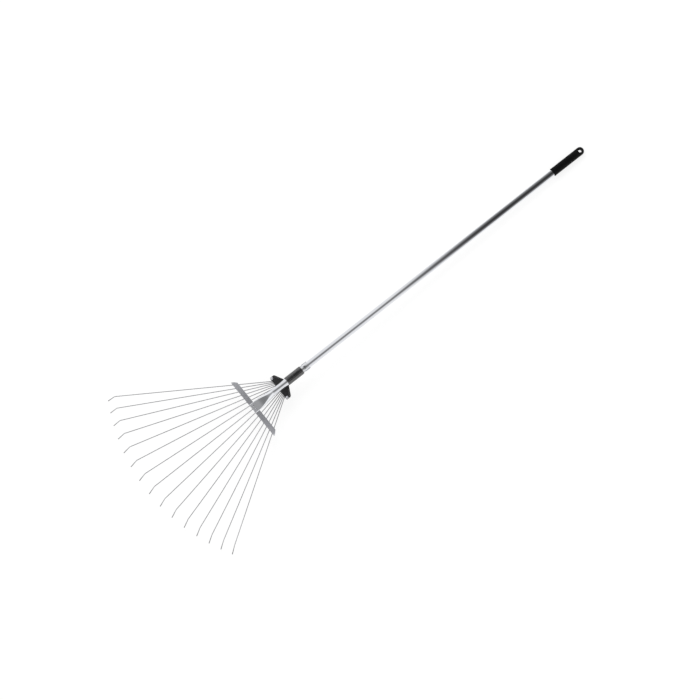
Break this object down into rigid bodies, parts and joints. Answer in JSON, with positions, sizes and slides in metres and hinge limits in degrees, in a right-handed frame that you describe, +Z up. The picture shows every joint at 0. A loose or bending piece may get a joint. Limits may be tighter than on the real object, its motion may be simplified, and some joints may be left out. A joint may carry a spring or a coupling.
{
  "type": "leaf rake",
  "caption": "Adjustable wire leaf rake: sprung wire tines fan out or fold as the head slides on a long steel tube and is locked by a twist nut.",
  "frame": {"origin": "on the ground, under the middle of the outline, with the rake lying hooks down and its head fanned out", "axes": "+Z up, +Y along the handle towards the hand grip, X across the head; the tool is mirror symmetric about X = 0"},
  "size_m": [0.5666, 1.588, 0.0704],
  "materials": {
    "chrome_tube": "bright chrome plating",
    "zinc_steel": "satin zinc plating",
    "spring_wire": "bright galvanised spring wire",
    "black_plastic": "glossy black moulded plastic",
    "black_grip": "matte black soft vinyl"
  },
  "bodies": {
    "handle": {"handle_tube": "chrome_tube", "hand_grip": "black_grip", "comb_bar": "zinc_steel", "comb_rivets": "zinc_steel"},
    "rake_head": {"head_sleeve": "zinc_steel", "carrier_cover": "black_plastic", "carrier_base": "black_plastic", "saddle_rivets": "zinc_steel", "corner_rivets": "spring_wire", "lock_collet": "zinc_steel", "tine_08": "spring_wire"},
    "nut": {"lock_nut": "black_plastic"},
    "tine_01_body": {"tine_01": "spring_wire"},
    "tine_02_body": {"tine_02": "spring_wire"},
    "tine_03_body": {"tine_03": "spring_wire"},
    "tine_04_body": {"tine_04": "spring_wire"},
    "tine_05_body": {"tine_05": "spring_wire"},
    "tine_06_body": {"tine_06": "spring_wire"},
    "tine_07_body": {"tine_07": "spring_wire"},
    "tine_09_body": {"tine_09": "spring_wire"},
    "tine_10_body": {"tine_10": "spring_wire"},
    "tine_11_body": {"tine_11": "spring_wire"},
    "tine_12_body": {"tine_12": "spring_wire"},
    "tine_13_body": {"tine_13": "spring_wire"},
    "tine_14_body": {"tine_14": "spring_wire"},
    "tine_15_body": {"tine_15": "spring_wire"}
  },
  "joints": [
    {"name": "head_slide", "type": "slide", "parent": "handle", "child": "rake_head", "axis": [0, 0.9991, -0.0425], "range_m": [0, 0.347], "deforming": ["tine_01", "tine_02", "tine_03", "tine_04", "tine_05", "tine_06", "tine_07", "tine_09", "tine_10", "tine_11", "tine_12", "tine_13", "tine_14", "tine_15"]},
    {"name": "nut_twist", "type": "hinge", "parent": "rake_head", "child": "nut", "pos_m": [0, -0.25908, 0.05634], "axis": [0, 0.9991, -0.0425], "range_deg": [0, 180]},
    {"name": "tine_01_swing", "type": "hinge", "parent": "rake_head", "child": "tine_01_body", "pos_m": [-0.0245, -0.31665, 0.04422], "axis": [0, 0.0425, 0.9991], "range_deg": [0, 25.18]},
    {"name": "tine_02_swing", "type": "hinge", "parent": "rake_head", "child": "tine_02_body", "pos_m": [-0.021, -0.31665, 0.04422], "axis": [0, 0.0425, 0.9991], "range_deg": [0, 22.39]},
    {"name": "tine_03_swing", "type": "hinge", "parent": "rake_head", "child": "tine_03_body", "pos_m": [-0.0175, -0.31665, 0.04422], "axis": [0, 0.0425, 0.9991], "range_deg": [0, 19.28]},
    {"name": "tine_04_swing", "type": "hinge", "parent": "rake_head", "child": "tine_04_body", "pos_m": [-0.014, -0.31665, 0.04422], "axis": [0, 0.0425, 0.9991], "range_deg": [0, 15.88]},
    {"name": "tine_05_swing", "type": "hinge", "parent": "rake_head", "child": "tine_05_body", "pos_m": [-0.0105, -0.31665, 0.04422], "axis": [0, 0.0425, 0.9991], "range_deg": [0, 12.2]},
    {"name": "tine_06_swing", "type": "hinge", "parent": "rake_head", "child": "tine_06_body", "pos_m": [-0.007, -0.31665, 0.04422], "axis": [0, 0.0425, 0.9991], "range_deg": [0, 8.29]},
    {"name": "tine_07_swing", "type": "hinge", "parent": "rake_head", "child": "tine_07_body", "pos_m": [-0.0035, -0.31665, 0.04422], "axis": [0, 0.0425, 0.9991], "range_deg": [0, 4.21]},
    {"name": "tine_09_swing", "type": "hinge", "parent": "rake_head", "child": "tine_09_body", "pos_m": [0.0035, -0.31665, 0.04422], "axis": [0, 0.0425, 0.9991], "range_deg": [-4.21, 0]},
    {"name": "tine_10_swing", "type": "hinge", "parent": "rake_head", "child": "tine_10_body", "pos_m": [0.007, -0.31665, 0.04422], "axis": [0, 0.0425, 0.9991], "range_deg": [-8.29, 0]},
    {"name": "tine_11_swing", "type": "hinge", "parent": "rake_head", "child": "tine_11_body", "pos_m": [0.0105, -0.31665, 0.04422], "axis": [0, 0.0425, 0.9991], "range_deg": [-12.2, 0]},
    {"name": "tine_12_swing", "type": "hinge", "parent": "rake_head", "child": "tine_12_body", "pos_m": [0.014, -0.31665, 0.04422], "axis": [0, 0.0425, 0.9991], "range_deg": [-15.88, 0]},
    {"name": "tine_13_swing", "type": "hinge", "parent": "rake_head", "child": "tine_13_body", "pos_m": [0.0175, -0.31665, 0.04422], "axis": [0, 0.0425, 0.9991], "range_deg": [-19.28, 0]},
    {"name": "tine_14_swing", "type": "hinge", "parent": "rake_head", "child": "tine_14_body", "pos_m": [0.021, -0.31665, 0.04422], "axis": [0, 0.0425, 0.9991], "range_deg": [-22.39, 0]},
    {"name": "tine_15_swing", "type": "hinge", "parent": "rake_head", "child": "tine_15_body", "pos_m": [0.0245, -0.31665, 0.04422], "axis": [0, 0.0425, 0.9991], "range_deg": [-25.18, 0]}
  ],
  "couplings": [
    {"joint": "tine_01_swing", "follows": "head_slide", "rad_per_m": 1.2637},
    {"joint": "tine_02_swing", "follows": "head_slide", "rad_per_m": 1.1234},
    {"joint": "tine_03_swing", "follows": "head_slide", "rad_per_m": 0.96735},
    {"joint": "tine_04_swing", "follows": "head_slide", "rad_per_m": 0.79614},
    {"joint": "tine_05_swing", "follows": "head_slide", "rad_per_m": 0.61108},
    {"joint": "tine_06_swing", "follows": "head_slide", "rad_per_m": 0.41443},
    {"joint": "tine_07_swing", "follows": "head_slide", "rad_per_m": 0.20942},
    {"joint": "tine_09_swing", "follows": "head_slide", "rad_per_m": -0.20942},
    {"joint": "tine_10_swing", "follows": "head_slide", "rad_per_m": -0.41443},
    {"joint": "tine_11_swing", "follows": "head_slide", "rad_per_m": -0.61108},
    {"joint": "tine_12_swing", "follows": "head_slide", "rad_per_m": -0.79614},
    {"joint": "tine_13_swing", "follows": "head_slide", "rad_per_m": -0.96735},
    {"joint": "tine_14_swing", "follows": "head_slide", "rad_per_m": -1.1234},
    {"joint": "tine_15_swing", "follows": "head_slide", "rad_per_m": -1.2637}
  ]
}
